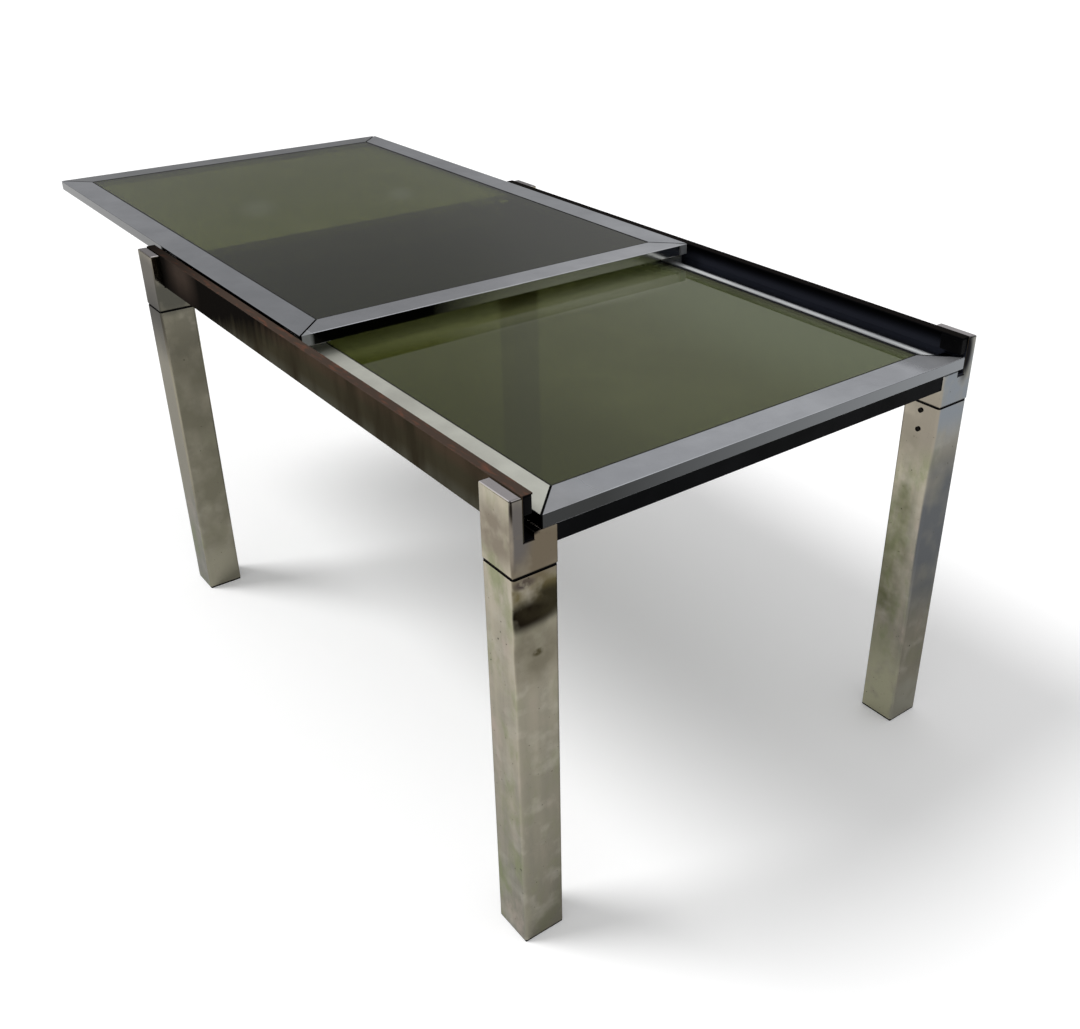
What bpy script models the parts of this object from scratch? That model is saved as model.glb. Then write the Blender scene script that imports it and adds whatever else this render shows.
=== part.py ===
# Extending dining table: four square chrome legs under h-shaped corner caps, two channel rails,
# a loose lower glass leaf on the caps and an upper glass leaf that slides along the rails.
# Metres, +Z up. X runs along the table, the upper leaf is drawn out towards -X. The origin is on
# the floor, midway along the table as it stands with the leaf drawn out.
import math

import bmesh
import bpy
from mathutils import Vector

# Clearances
CLEARANCE = 0.0003          # between pieces that are fixed to one another
RUN_CLEARANCE = 0.0006      # between pieces that slide on one another

# Base
BASE_LENGTH = 1.288
BASE_WIDTH = 0.904
CAP_TOP_HEIGHT = 0.755
LEG_SIZE = 0.070
LEG_WALL = 0.002
LEG_CORNER_RADIUS = 0.0045
FOOT_THICKNESS = 0.004
FOOT_INSET = 0.0015
FOOT_PLUG_DEPTH = 0.022
FOOT_PLUG_WALL = 0.0025

# Corner cap and the black spigot that joins it to its leg
CAP_HEIGHT = 0.110
CAP_WALL = 0.018
CAP_EDGE = 0.0018
SHADOW_GAP = 0.003
COLLAR_INSET = 0.0015
SPIGOT_DEPTH = 0.075
SPIGOT_WALL = 0.005
SCREW_DROPS = {"upper": 0.012, "lower": 0.046}
SCREW_LENGTH = 0.011
SCREW_RADIUS = 0.0022
SCREW_HEAD_RADIUS = 0.0042
SCREW_HEAD_HEIGHT = 0.0018
SCREW_SOCKET_RADIUS = 0.0022
SCREW_SOCKET_DEPTH = 0.0012

# Rails, end stops and aprons
RAIL_WIDTH = 0.016
RAIL_WALL = 0.0025
RAIL_RISE = 0.002           # rail top above the cap top
RAIL_DROP = 0.010           # rail bottom below the lower leaf
RAIL_SETBACK = 0.001
STOP_HEIGHT = 0.027
STOP_SETBACK = 0.002
APRON_HEIGHT = 0.0265
APRON_DEPTH = 0.020
APRON_WALL = 0.002
APRON_SETBACK = 0.002

# Leaves
UPPER_RISE = 0.004          # upper leaf top above the cap top
LEAF_GAP = 0.017            # between the two leaves
UPPER_END_REVEAL = 0.007    # base end beyond the closed upper leaf
UPPER_SIDE_GAP = 0.0055     # upper leaf edge to rail lip
LOWER_TUCK = 0.001          # lower leaf edge beyond the rail lip, with the leaf centred
TRAVEL = 0.640              # slide of the upper leaf, from closed to drawn out
BAR_WIDTH = 0.0535
BAR_HEIGHT = 0.020
BAR_WALL = 0.002
BAR_EDGE = 0.0012
MITRE_GAP = 0.0024
KEY_ARM = 0.090
GLASS_THICKNESS = 0.006
GLASS_RECESS = 0.0006       # glass top below the frame top
GLASS_EDGE = 0.0008
LEDGE_WIDTH = 0.0065
LEDGE_THICKNESS = 0.002
GASKET_SIDE = 0.0022
GASKET_FLOOR = 0.0014

# Runners under the upper leaf
RUNNER_INSET = 0.037        # from the inner end of the leaf
RUNNER_LENGTH = 0.040
RUNNER_PLATE = 0.003
RUNNER_TAB = 0.004
RUNNER_WEB = 0.004
RUNNER_EDGE_GAP = 0.004     # runner web to the leaf's edge
RUNNER_PLATE_WIDTH = 0.046
RUNNER_TAB_WIDTH = 0.060    # tab length on the table side of the leaf's edge
GLIDE_LIP = 0.003

# Heights worked out from the sizes above
RAIL_TOP = CAP_TOP_HEIGHT + RAIL_RISE
UPPER_BOTTOM = CAP_TOP_HEIGHT + UPPER_RISE - BAR_HEIGHT
LOWER_TOP = UPPER_BOTTOM - LEAF_GAP
LOWER_BOTTOM = LOWER_TOP - BAR_HEIGHT
SEAT_HEIGHT = LOWER_BOTTOM - CLEARANCE
RAIL_BOTTOM = LOWER_BOTTOM - RAIL_DROP
RAIL_CEILING = RAIL_TOP - RAIL_WALL
CAP_BOTTOM = CAP_TOP_HEIGHT - CAP_HEIGHT
LEG_TOP = CAP_BOTTOM - SHADOW_GAP
TAB_BOTTOM = LOWER_TOP + RUN_CLEARANCE
TAB_TOP = TAB_BOTTOM + RUNNER_TAB

# Places across the table, measured from its middle
RAIL_OUTER = BASE_WIDTH / 2 - CAP_WALL
RAIL_LIP = RAIL_OUTER - RAIL_WIDTH
RAIL_WEB_INSIDE = RAIL_OUTER - RAIL_WALL
UPPER_HALF_WIDTH = RAIL_LIP - UPPER_SIDE_GAP
LOWER_HALF_WIDTH = RAIL_LIP + LOWER_TUCK
LOWER_SHIFT = RAIL_WEB_INSIDE - CLEARANCE - LOWER_HALF_WIDTH  # loose leaf pushed against the rear rail
LEG_OFFSET = (BASE_LENGTH / 2 - LEG_SIZE / 2, BASE_WIDTH / 2 - LEG_SIZE / 2)

# Places along the table
UPPER_LENGTH = BASE_LENGTH - 2 * UPPER_END_REVEAL
BASE_X = (UPPER_LENGTH / 2 + TRAVEL - BASE_LENGTH / 2) / 2
RUNNER_STOP = UPPER_LENGTH / 2 - RUNNER_INSET       # runner face that meets the stop
STOP_LENGTH = BASE_LENGTH / 2 - STOP_SETBACK - RUNNER_STOP - RUN_CLEARANCE
RUNNER_X = {
    "inner": RUNNER_STOP - RUNNER_LENGTH / 2,
    "middle": TRAVEL - RUNNER_STOP + RUNNER_LENGTH / 2,
}

ARC_STEPS = 5
ROUND_SEGMENTS = 20
ALONG_X = (math.pi / 2, 0, math.pi / 2)     # outline x to Y, outline y to Z, extrusion along X
ALONG_Y = (math.pi / 2, 0, 0)               # outline x to X, outline y to Z, extrusion along Y
SIDES = {"front": -1, "rear": 1}
ENDS = {"left": -1, "right": 1}


def clear_scene():
    for old in list(bpy.data.objects):
        bpy.data.objects.remove(old, do_unlink=True)


def new_collection(name):
    collection = bpy.data.collections.new(name)
    bpy.context.scene.collection.children.link(collection)
    return collection


def finish(name, colour, roughness, metallic=0.0, transmission=0.0):
    material = bpy.data.materials.new(name)
    material.use_nodes = True
    shader = material.node_tree.nodes["Principled BSDF"]
    shader.inputs["Base Color"].default_value = (*colour, 1.0)
    shader.inputs["Roughness"].default_value = roughness
    shader.inputs["Metallic"].default_value = metallic
    shader.inputs["Transmission Weight"].default_value = transmission
    return material


clear_scene()
TABLE = new_collection("extending_dining_table")
CUTTERS = new_collection("cutters")

CHROME = finish("aged_chrome", (0.55, 0.54, 0.48), 0.18, metallic=1.0)
BRONZE_LACQUER = finish("bronze_lacquer", (0.060, 0.042, 0.032), 0.16, metallic=0.6)
BLACK_PAINT = finish("black_paint", (0.012, 0.012, 0.013), 0.45)
ALUMINIUM = finish("satin_aluminium", (0.48, 0.49, 0.50), 0.32, metallic=1.0)
SMOKED_GLASS = finish("smoked_glass", (0.14, 0.15, 0.09), 0.03, transmission=1.0)
BLACK_RUBBER = finish("black_rubber", (0.015, 0.015, 0.015), 0.70)
BLACK_PLASTIC = finish("black_plastic", (0.014, 0.014, 0.015), 0.50)
GREY_NYLON = finish("grey_nylon", (0.50, 0.51, 0.50), 0.48)
DARK_STEEL = finish("dark_steel", (0.05, 0.05, 0.05), 0.35, metallic=1.0)


def add_empty(name, location, parent=None):
    empty = bpy.data.objects.new(name, None)
    empty.empty_display_size = 0.1
    empty.location = location
    empty.parent = parent
    TABLE.objects.link(empty)
    return empty


def add_part(name, mesh, material, location, parent, rotation=(0, 0, 0)):
    part = bpy.data.objects.new(name, mesh)
    part.location = location
    part.rotation_euler = rotation
    part.parent = parent
    if not mesh.materials:
        mesh.materials.append(material)
    TABLE.objects.link(part)
    return part


def mesh_from_bmesh(name, shape):
    bmesh.ops.recalc_face_normals(shape, faces=shape.faces)
    mesh = bpy.data.meshes.new(name)
    shape.to_mesh(mesh)
    shape.free()
    return mesh


def rounded_outline(corners):
    """Closed outline through corners (x, y, radius), each corner turned into an arc of that radius."""
    points = []
    for index, (x, y, radius) in enumerate(corners):
        corner = Vector((x, y))
        if radius == 0:
            points.append(corner)
            continue
        before = (Vector(corners[index - 1][:2]) - corner).normalized()
        after = (Vector(corners[(index + 1) % len(corners)][:2]) - corner).normalized()
        half_angle = before.angle(after) / 2
        centre = corner + (before + after).normalized() * (radius / math.sin(half_angle))
        start = corner + before * (radius / math.tan(half_angle)) - centre
        end = corner + after * (radius / math.tan(half_angle)) - centre
        sweep = start.angle_signed(end)
        for step in range(ARC_STEPS + 1):
            turn = -sweep * step / ARC_STEPS
            cos_turn, sin_turn = math.cos(turn), math.sin(turn)
            points.append(centre + Vector((start.x * cos_turn - start.y * sin_turn,
                                           start.x * sin_turn + start.y * cos_turn)))
    return points


def rectangle(low, high, radius=0.0):
    return rounded_outline([(low[0], low[1], radius), (high[0], low[1], radius),
                            (high[0], high[1], radius), (low[0], high[1], radius)])


def extrusion(name, outlines, length):
    """Mesh of a flat outline, with any further outlines as holes, extruded evenly about z = 0."""
    curve = bpy.data.curves.new(name, "CURVE")
    curve.dimensions = "2D"
    curve.fill_mode = "BOTH"
    curve.extrude = length / 2
    for outline in outlines:
        spline = curve.splines.new("POLY")
        spline.points.add(len(outline) - 1)
        for point, place in zip(spline.points, outline):
            point.co = (place[0], place[1], 0, 1)
        spline.use_cyclic_u = True
    guide = bpy.data.objects.new(name, curve)
    CUTTERS.objects.link(guide)
    graph = bpy.context.evaluated_depsgraph_get()
    mesh = bpy.data.meshes.new_from_object(guide.evaluated_get(graph))
    bpy.data.objects.remove(guide)
    bpy.data.curves.remove(curve)
    shape = bmesh.new()
    shape.from_mesh(mesh)
    bpy.data.meshes.remove(mesh)
    bmesh.ops.remove_doubles(shape, verts=shape.verts, dist=1e-6)
    return mesh_from_bmesh(name, shape)


def block(name, low, high):
    shape = bmesh.new()
    bmesh.ops.create_cube(shape, size=1)
    size = Vector(high) - Vector(low)
    bmesh.ops.scale(shape, vec=size, verts=shape.verts)
    bmesh.ops.translate(shape, vec=(Vector(low) + Vector(high)) / 2, verts=shape.verts)
    return mesh_from_bmesh(name, shape)


def round_edges(part, width, segments=2):
    """Rounds the outward edges only, so that nothing grows into a slot."""
    shape = bmesh.new()
    shape.from_mesh(part.data)
    weight = shape.edges.layers.float.new("bevel_weight_edge")
    for edge in shape.edges:
        edge[weight] = float(edge.is_convex and edge.calc_face_angle() > math.radians(40))
    shape.to_mesh(part.data)
    shape.free()
    bevel = part.modifiers.new("round_edges", "BEVEL")
    bevel.width = width
    bevel.segments = segments
    bevel.limit_method = "WEIGHT"


def cut(part, cutter):
    difference = part.modifiers.new(cutter.name, "BOOLEAN")
    difference.operation = "DIFFERENCE"
    difference.solver = "EXACT"
    difference.object = cutter


def add_cutter(name, mesh, location, parent, rotation=(0, 0, 0)):
    cutter = bpy.data.objects.new(name, mesh)
    cutter.location = location
    cutter.rotation_euler = rotation
    cutter.parent = parent
    cutter.hide_render = True
    cutter.display_type = "WIRE"
    CUTTERS.objects.link(cutter)
    return cutter


def step_face(shape, face, inset, rise):
    """Insets a face, then draws it out along its normal, or into the piece where rise is negative."""
    bmesh.ops.inset_individual(shape, faces=[face], thickness=inset, use_even_offset=True)
    normal = face.normal.copy()
    drawn = bmesh.ops.extrude_discrete_faces(shape, faces=[face])["faces"][0]
    bmesh.ops.translate(shape, vec=normal * rise, verts=drawn.verts)
    drawn.normal_update()
    return drawn


def top_face(shape):
    return max(shape.faces, key=lambda face: face.calc_center_median().z)


def stepped_plug(name, flange, thickness, plug, depth, wall):
    """Square flange from z = 0 up, with a narrower hollow plug on top that is open at its end."""
    shape = bmesh.new()
    bmesh.ops.create_cube(shape, size=1)
    bmesh.ops.scale(shape, vec=(flange, flange, thickness), verts=shape.verts)
    bmesh.ops.translate(shape, vec=(0, 0, thickness / 2), verts=shape.verts)
    shape.normal_update()
    face = step_face(shape, top_face(shape), (flange - plug) / 2, depth)
    step_face(shape, face, wall, -depth)
    return mesh_from_bmesh(name, shape)


def socket_screw(name):
    """Button screw along z: the head's underside is at z = 0, the head above it, the shank below."""
    shape = bmesh.new()
    bmesh.ops.create_cone(shape, cap_ends=True, segments=ROUND_SEGMENTS, radius1=SCREW_HEAD_RADIUS,
                          radius2=SCREW_HEAD_RADIUS, depth=SCREW_HEAD_HEIGHT)
    bmesh.ops.translate(shape, vec=(0, 0, SCREW_HEAD_HEIGHT / 2), verts=shape.verts)
    shape.normal_update()
    step_face(shape, top_face(shape), SCREW_HEAD_RADIUS - SCREW_SOCKET_RADIUS, -SCREW_SOCKET_DEPTH)
    underside = min(shape.faces, key=lambda face: face.calc_center_median().z)
    step_face(shape, underside, SCREW_HEAD_RADIUS - SCREW_RADIUS, SCREW_LENGTH)
    return mesh_from_bmesh(name, shape)


def screw_hole(name):
    shape = bmesh.new()
    bmesh.ops.create_cone(shape, cap_ends=True, segments=ROUND_SEGMENTS, depth=4 * SCREW_LENGTH,
                          radius1=SCREW_RADIUS + CLEARANCE, radius2=SCREW_RADIUS + CLEARANCE)
    return mesh_from_bmesh(name, shape)


# Legs: chrome tubes, each with a foot plug below and the cap's spigot screwed in above
def leg_tube_mesh():
    half = LEG_SIZE / 2
    bore = half - LEG_WALL
    outlines = [rectangle((-half, -half), (half, half), LEG_CORNER_RADIUS),
                rectangle((-bore, -bore), (bore, bore))]
    return extrusion("leg_tube", outlines, LEG_TOP - FOOT_THICKNESS - 2 * CLEARANCE)


def add_legs(base):
    plug = LEG_SIZE - 2 * LEG_WALL - 2 * CLEARANCE
    tube = leg_tube_mesh()
    foot = stepped_plug("foot", LEG_SIZE - 2 * FOOT_INSET, FOOT_THICKNESS, plug,
                        FOOT_PLUG_DEPTH, FOOT_PLUG_WALL)
    spigot = stepped_plug("spigot", LEG_SIZE - 2 * COLLAR_INSET, SHADOW_GAP - 2 * CLEARANCE, plug,
                          SPIGOT_DEPTH, SPIGOT_WALL)
    screw = socket_screw("leg_screw")
    hole = screw_hole("leg_screw_hole")
    for side, y_sign in SIDES.items():
        for end, x_sign in ENDS.items():
            corner = f"{side}_{end}"
            x, y = x_sign * LEG_OFFSET[0], y_sign * LEG_OFFSET[1]
            leg_middle = (LEG_TOP + FOOT_THICKNESS) / 2
            leg = add_part(f"leg_{corner}", tube, CHROME, (x, y, leg_middle), base)
            add_part(f"foot_{corner}", foot, BLACK_PLASTIC, (x, y, 0), base)
            joiner = add_part(f"spigot_{corner}", spigot, BLACK_PLASTIC,
                              (x, y, CAP_BOTTOM - CLEARANCE), base, (math.pi, 0, 0))
            inner_face = y - y_sign * LEG_SIZE / 2
            for place, drop in SCREW_DROPS.items():
                turn = (y_sign * math.pi / 2, 0, 0)
                seat = (x, inner_face - y_sign * CLEARANCE, LEG_TOP - drop)
                bore = add_cutter(f"screw_hole_{corner}_{place}", hole, seat, base, turn)
                cut(leg, bore)
                cut(joiner, bore)
                add_part(f"leg_screw_{corner}_{place}", screw, DARK_STEEL, seat, base, turn)


# Corner caps: h-shaped in end view, with a tall outer wall, a slot for the rail and a seat block
def cap_mesh(y_sign):
    outer = BASE_WIDTH / 2
    slot_outside = RAIL_OUTER + CLEARANCE
    slot_inside = RAIL_LIP - CLEARANCE
    inner = outer - LEG_SIZE
    slot_floor = RAIL_BOTTOM - CLEARANCE
    corners = [(outer, CAP_BOTTOM), (outer, CAP_TOP_HEIGHT), (slot_outside, CAP_TOP_HEIGHT),
               (slot_outside, slot_floor), (slot_inside, slot_floor), (slot_inside, SEAT_HEIGHT),
               (inner, SEAT_HEIGHT), (inner, CAP_BOTTOM)]
    outline = rounded_outline([(y_sign * y, z, 0) for y, z in corners])
    return extrusion("cap", [outline], LEG_SIZE)


def add_caps(base):
    for side, y_sign in SIDES.items():
        mesh = cap_mesh(y_sign)
        for end, x_sign in ENDS.items():
            cap = add_part(f"cap_{side}_{end}", mesh, CHROME, (x_sign * LEG_OFFSET[0], 0, 0), base, ALONG_X)
            round_edges(cap, CAP_EDGE)


# Rails: channels that open towards the table's middle, lying in the slots of the caps
def rail_mesh(y_sign):
    floor = RAIL_BOTTOM + RAIL_WALL
    corners = [(RAIL_OUTER, RAIL_BOTTOM, BAR_EDGE), (RAIL_OUTER, RAIL_TOP, BAR_EDGE), (RAIL_LIP, RAIL_TOP, 0),
               (RAIL_LIP, RAIL_CEILING, 0), (RAIL_WEB_INSIDE, RAIL_CEILING, 0),
               (RAIL_WEB_INSIDE, floor, 0), (RAIL_LIP, floor, 0), (RAIL_LIP, RAIL_BOTTOM, 0)]
    outline = rounded_outline([(y_sign * y, z, radius) for y, z, radius in corners])
    return extrusion("rail", [outline], BASE_LENGTH - 2 * RAIL_SETBACK)


def add_rails(base):
    for side, y_sign in SIDES.items():
        add_part(f"rail_{side}", rail_mesh(y_sign), BRONZE_LACQUER, (0, 0, 0), base, ALONG_X)
        across = sorted((y_sign * RAIL_LIP, y_sign * (RAIL_WEB_INSIDE - CLEARANCE)))
        top = RAIL_CEILING - CLEARANCE
        for end, x_sign in ENDS.items():
            outer_face = BASE_LENGTH / 2 - STOP_SETBACK
            along = sorted((x_sign * outer_face, x_sign * (outer_face - STOP_LENGTH)))
            mesh = block("end_stop", (along[0], across[0], top - STOP_HEIGHT), (along[1], across[1], top))
            stop = add_part(f"end_stop_{side}_{end}", mesh, BLACK_PLASTIC, (0, 0, 0), base)
            round_edges(stop, CAP_EDGE)


# Aprons: black tubes between the caps at each end, under the lower leaf
def add_aprons(base):
    length = BASE_WIDTH - 2 * LEG_SIZE - 2 * CLEARANCE
    half_depth = APRON_DEPTH / 2
    half_height = APRON_HEIGHT / 2
    bore = (half_depth - APRON_WALL, half_height - APRON_WALL)
    outlines = [rectangle((-half_depth, -half_height), (half_depth, half_height), BAR_EDGE),
                rectangle((-bore[0], -bore[1]), bore)]
    mesh = extrusion("apron", outlines, length)
    for end, x_sign in ENDS.items():
        x = x_sign * (BASE_LENGTH / 2 - APRON_SETBACK - half_depth)
        add_part(f"apron_{end}", mesh, BLACK_PAINT, (x, 0, SEAT_HEIGHT - half_height), base, ALONG_Y)


# Leaves: mitred hollow bars with a glazing ledge, joined by corner keys, round a gasket and glass
def bar_mesh(length):
    ledge_top = BAR_HEIGHT - GLASS_RECESS - GLASS_THICKNESS - GASKET_FLOOR - 2 * CLEARANCE
    ledge_end = BAR_WIDTH + LEDGE_WIDTH
    outline = rounded_outline([
        (0, 0, BAR_EDGE), (BAR_WIDTH, 0, 0), (BAR_WIDTH, ledge_top - LEDGE_THICKNESS, 0),
        (ledge_end, ledge_top - LEDGE_THICKNESS, 0), (ledge_end, ledge_top, 0), (BAR_WIDTH, ledge_top, 0),
        (BAR_WIDTH, BAR_HEIGHT, 0), (0, BAR_HEIGHT, BAR_EDGE)])
    hollow = rectangle((BAR_WALL, BAR_WALL), (BAR_WIDTH - BAR_WALL, BAR_HEIGHT - BAR_WALL))
    mesh = extrusion("leaf_bar", [outline, hollow], length - 2 * MITRE_GAP)
    shape = bmesh.new()
    shape.from_mesh(mesh)
    for vertex in shape.verts:
        vertex.co.z -= math.copysign(vertex.co.x, vertex.co.z)  # cut both ends to 45 degrees
    bpy.data.meshes.remove(mesh)
    return mesh_from_bmesh("leaf_bar", shape)


def key_mesh():
    near = BAR_WALL + CLEARANCE
    far = BAR_WIDTH - BAR_WALL - CLEARANCE
    outline = rounded_outline([(near, near, 0), (KEY_ARM, near, 0), (KEY_ARM, far, 0),
                               (far, far, 0), (far, KEY_ARM, 0), (near, KEY_ARM, 0)])
    return extrusion("corner_key", [outline], BAR_HEIGHT - 2 * (BAR_WALL + CLEARANCE))


def add_leaf(name, half_length, half_width, parent):
    """Framed glass leaf whose underside lies at z = 0 of its parent empty."""
    bars = {
        "front": (half_length, (0, -half_width, 0)), "right": (half_width, (half_length, 0, 0)),
        "rear": (half_length, (0, half_width, 0)), "left": (half_width, (-half_length, 0, 0)),
    }
    for index, (place, (half_bar, location)) in enumerate(bars.items()):
        turn = (math.pi / 2, 0, math.pi / 2 * (index + 1))
        add_part(f"{name}_bar_{place}", bar_mesh(2 * half_bar), ALUMINIUM, location, parent, turn)
    corners = {"front_left": (-1, -1), "front_right": (1, -1), "rear_right": (1, 1), "rear_left": (-1, 1)}
    key = key_mesh()
    for index, (place, (x_sign, y_sign)) in enumerate(corners.items()):
        location = (x_sign * half_length, y_sign * half_width, BAR_HEIGHT / 2)
        add_part(f"{name}_key_{place}", key, BLACK_PLASTIC, location, parent, (0, 0, math.pi / 2 * index))
    glass_top = BAR_HEIGHT - GLASS_RECESS
    glass_bottom = glass_top - GLASS_THICKNESS
    gasket_bottom = glass_bottom - CLEARANCE - GASKET_FLOOR
    gasket_x, gasket_y = (half - BAR_WIDTH - CLEARANCE for half in (half_length, half_width))
    gasket = add_part(f"{name}_gasket", block("gasket", (-gasket_x, -gasket_y, gasket_bottom),
                                              (gasket_x, gasket_y, glass_top)), BLACK_RUBBER, (0, 0, 0), parent)
    glass_x, glass_y = (half - GASKET_SIDE - CLEARANCE for half in (gasket_x, gasket_y))
    rebate = block("glass_rebate", (-glass_x - CLEARANCE, -glass_y - CLEARANCE, glass_bottom - CLEARANCE),
                   (glass_x + CLEARANCE, glass_y + CLEARANCE, glass_top + BAR_HEIGHT))
    cut(gasket, add_cutter(f"{name}_glass_rebate", rebate, (0, 0, 0), parent))
    window_x, window_y = (half - BAR_WIDTH - LEDGE_WIDTH for half in (half_length, half_width))
    window = block("ledge_window", (-window_x, -window_y, -BAR_HEIGHT), (window_x, window_y, glass_bottom))
    cut(gasket, add_cutter(f"{name}_ledge_window", window, (0, 0, 0), parent))
    glass = add_part(f"{name}_glass", block("glass", (-glass_x, -glass_y, glass_bottom),
                                            (glass_x, glass_y, glass_top)), SMOKED_GLASS, (0, 0, 0), parent)
    round_edges(glass, GLASS_EDGE, 1)


# Runners: brackets under the upper leaf whose tabs reach into the rails and carry nylon glides
def runner_meshes(y_sign):
    web_outside = UPPER_HALF_WIDTH - RUNNER_EDGE_GAP
    web_inside = web_outside - RUNNER_WEB
    plate_end = web_outside - RUNNER_PLATE_WIDTH
    tab_inner = UPPER_HALF_WIDTH - RUNNER_TAB_WIDTH
    glide_outside = RAIL_WEB_INSIDE - RUN_CLEARANCE
    tab_outer = glide_outside - GLIDE_LIP - CLEARANCE
    top = UPPER_BOTTOM - CLEARANCE
    bracket = [(plate_end, top), (web_outside, top), (web_outside, TAB_TOP), (tab_outer, TAB_TOP),
               (tab_outer, TAB_BOTTOM), (tab_inner, TAB_BOTTOM), (tab_inner, TAB_TOP), (web_inside, TAB_TOP),
               (web_inside, top - RUNNER_PLATE), (plate_end, top - RUNNER_PLATE)]
    glide_top = RAIL_CEILING - RUN_CLEARANCE
    glide_inner = RAIL_LIP + RUN_CLEARANCE
    glide = [(glide_outside, TAB_BOTTOM), (glide_outside, glide_top), (glide_inner, glide_top),
             (glide_inner, TAB_TOP + CLEARANCE), (tab_outer + CLEARANCE, TAB_TOP + CLEARANCE),
             (tab_outer + CLEARANCE, TAB_BOTTOM)]
    return [extrusion(name, [rounded_outline([(y_sign * y, z - UPPER_BOTTOM, 0) for y, z in corners])],
                      RUNNER_LENGTH)
            for name, corners in (("runner", bracket), ("glide", glide))]


def add_runners(upper_leaf):
    for side, y_sign in SIDES.items():
        bracket, glide = runner_meshes(y_sign)
        for place, x in RUNNER_X.items():
            add_part(f"runner_{side}_{place}", bracket, ALUMINIUM, (x, 0, 0), upper_leaf, ALONG_X)
            slider = add_part(f"glide_{side}_{place}", glide, GREY_NYLON, (x, 0, 0), upper_leaf, ALONG_X)
            round_edges(slider, RUN_CLEARANCE, 1)


def main():
    base = add_empty("base", (BASE_X, 0, 0))
    lower_leaf = add_empty("lower_leaf", (0, LOWER_SHIFT, LOWER_BOTTOM), base)
    upper_leaf = add_empty("upper_leaf", (-TRAVEL, 0, UPPER_BOTTOM), base)
    add_legs(base)
    add_caps(base)
    add_rails(base)
    add_aprons(base)
    add_leaf("lower", BASE_LENGTH / 2, LOWER_HALF_WIDTH, lower_leaf)
    add_leaf("upper", UPPER_LENGTH / 2, UPPER_HALF_WIDTH, upper_leaf)
    add_runners(upper_leaf)


main()
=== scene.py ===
# Looks of the extending glass dining table: finishes for every CAD piece, the beads round the glass,
# the runner screws, then floor, light and a camera at the photograph's viewpoint.
import math

import bpy
import numpy as np
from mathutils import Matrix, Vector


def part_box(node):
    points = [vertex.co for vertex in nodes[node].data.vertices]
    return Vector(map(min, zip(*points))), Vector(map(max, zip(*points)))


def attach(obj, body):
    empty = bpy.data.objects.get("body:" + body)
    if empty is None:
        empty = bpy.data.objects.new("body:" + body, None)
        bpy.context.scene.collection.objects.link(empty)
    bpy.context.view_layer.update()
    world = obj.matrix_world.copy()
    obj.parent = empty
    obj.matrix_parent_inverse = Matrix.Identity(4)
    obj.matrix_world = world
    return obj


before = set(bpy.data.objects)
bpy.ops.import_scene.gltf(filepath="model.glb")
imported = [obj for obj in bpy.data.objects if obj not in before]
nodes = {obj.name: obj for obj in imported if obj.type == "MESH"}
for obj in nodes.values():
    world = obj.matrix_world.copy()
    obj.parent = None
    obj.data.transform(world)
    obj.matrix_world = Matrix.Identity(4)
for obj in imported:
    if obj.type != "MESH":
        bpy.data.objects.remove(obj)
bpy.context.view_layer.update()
print("frame loaded:", len(nodes), "nodes")

# The table's middle, and a leg's middle and half width from there: the marks on the finishes are placed by these
baseX = sum(corner[0] for node in ("cap_front_left", "cap_front_right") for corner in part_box(node)) / 4
legX = sum(corner[0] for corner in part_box("leg_front_right")) / 2 - baseX
legY = sum(corner[1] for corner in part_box("leg_rear_right")) / 2
legHalf = (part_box("leg_front_right")[1][0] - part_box("leg_front_right")[0][0]) / 2

# Names for sockets that come in pairs or only have numbers
fromRange, toRange = ("From Min", "From Max"), ("To Min", "To Max")
mixFactor, mixUnder, mixOver = 0, 6, 7  # of a colour mix


def linear(hexColour):  # sRGB hex to linear RGBA
    srgb = np.array([int(hexColour[i:i + 2], 16) for i in (1, 3, 5)]) / 255
    rgb = np.where(srgb <= 0.04045, srgb / 12.92, ((srgb + 0.055) / 1.055) ** 2.4)
    return (*rgb.tolist(), 1.0)


def setInputs(tree, node, inputs):  # each a value, a socket, or a node, whose first enabled output is linked
    for names, values in inputs.items():
        if not isinstance(names, tuple):
            names, values = (names,), (values,)
        for name, value in zip(names, values):
            if isinstance(value, bpy.types.Node):
                value = next(output for output in value.outputs if output.enabled)
            if isinstance(value, bpy.types.NodeSocket):
                tree.links.new(value, node.inputs[name])
            else:
                node.inputs[name].default_value = value


def addNode(tree, kind, inputs=None, **settings):
    node = tree.nodes.new(kind)
    for name, value in settings.items():
        setattr(node, name, value)
    setInputs(tree, node, inputs or {})
    return node


def newMaterial(name):
    material = bpy.data.materials.new(name)
    material.use_nodes = True
    tree = material.node_tree
    return material, tree, tree.nodes["Principled BSDF"], addNode(tree, "ShaderNodeTexCoord")


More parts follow.
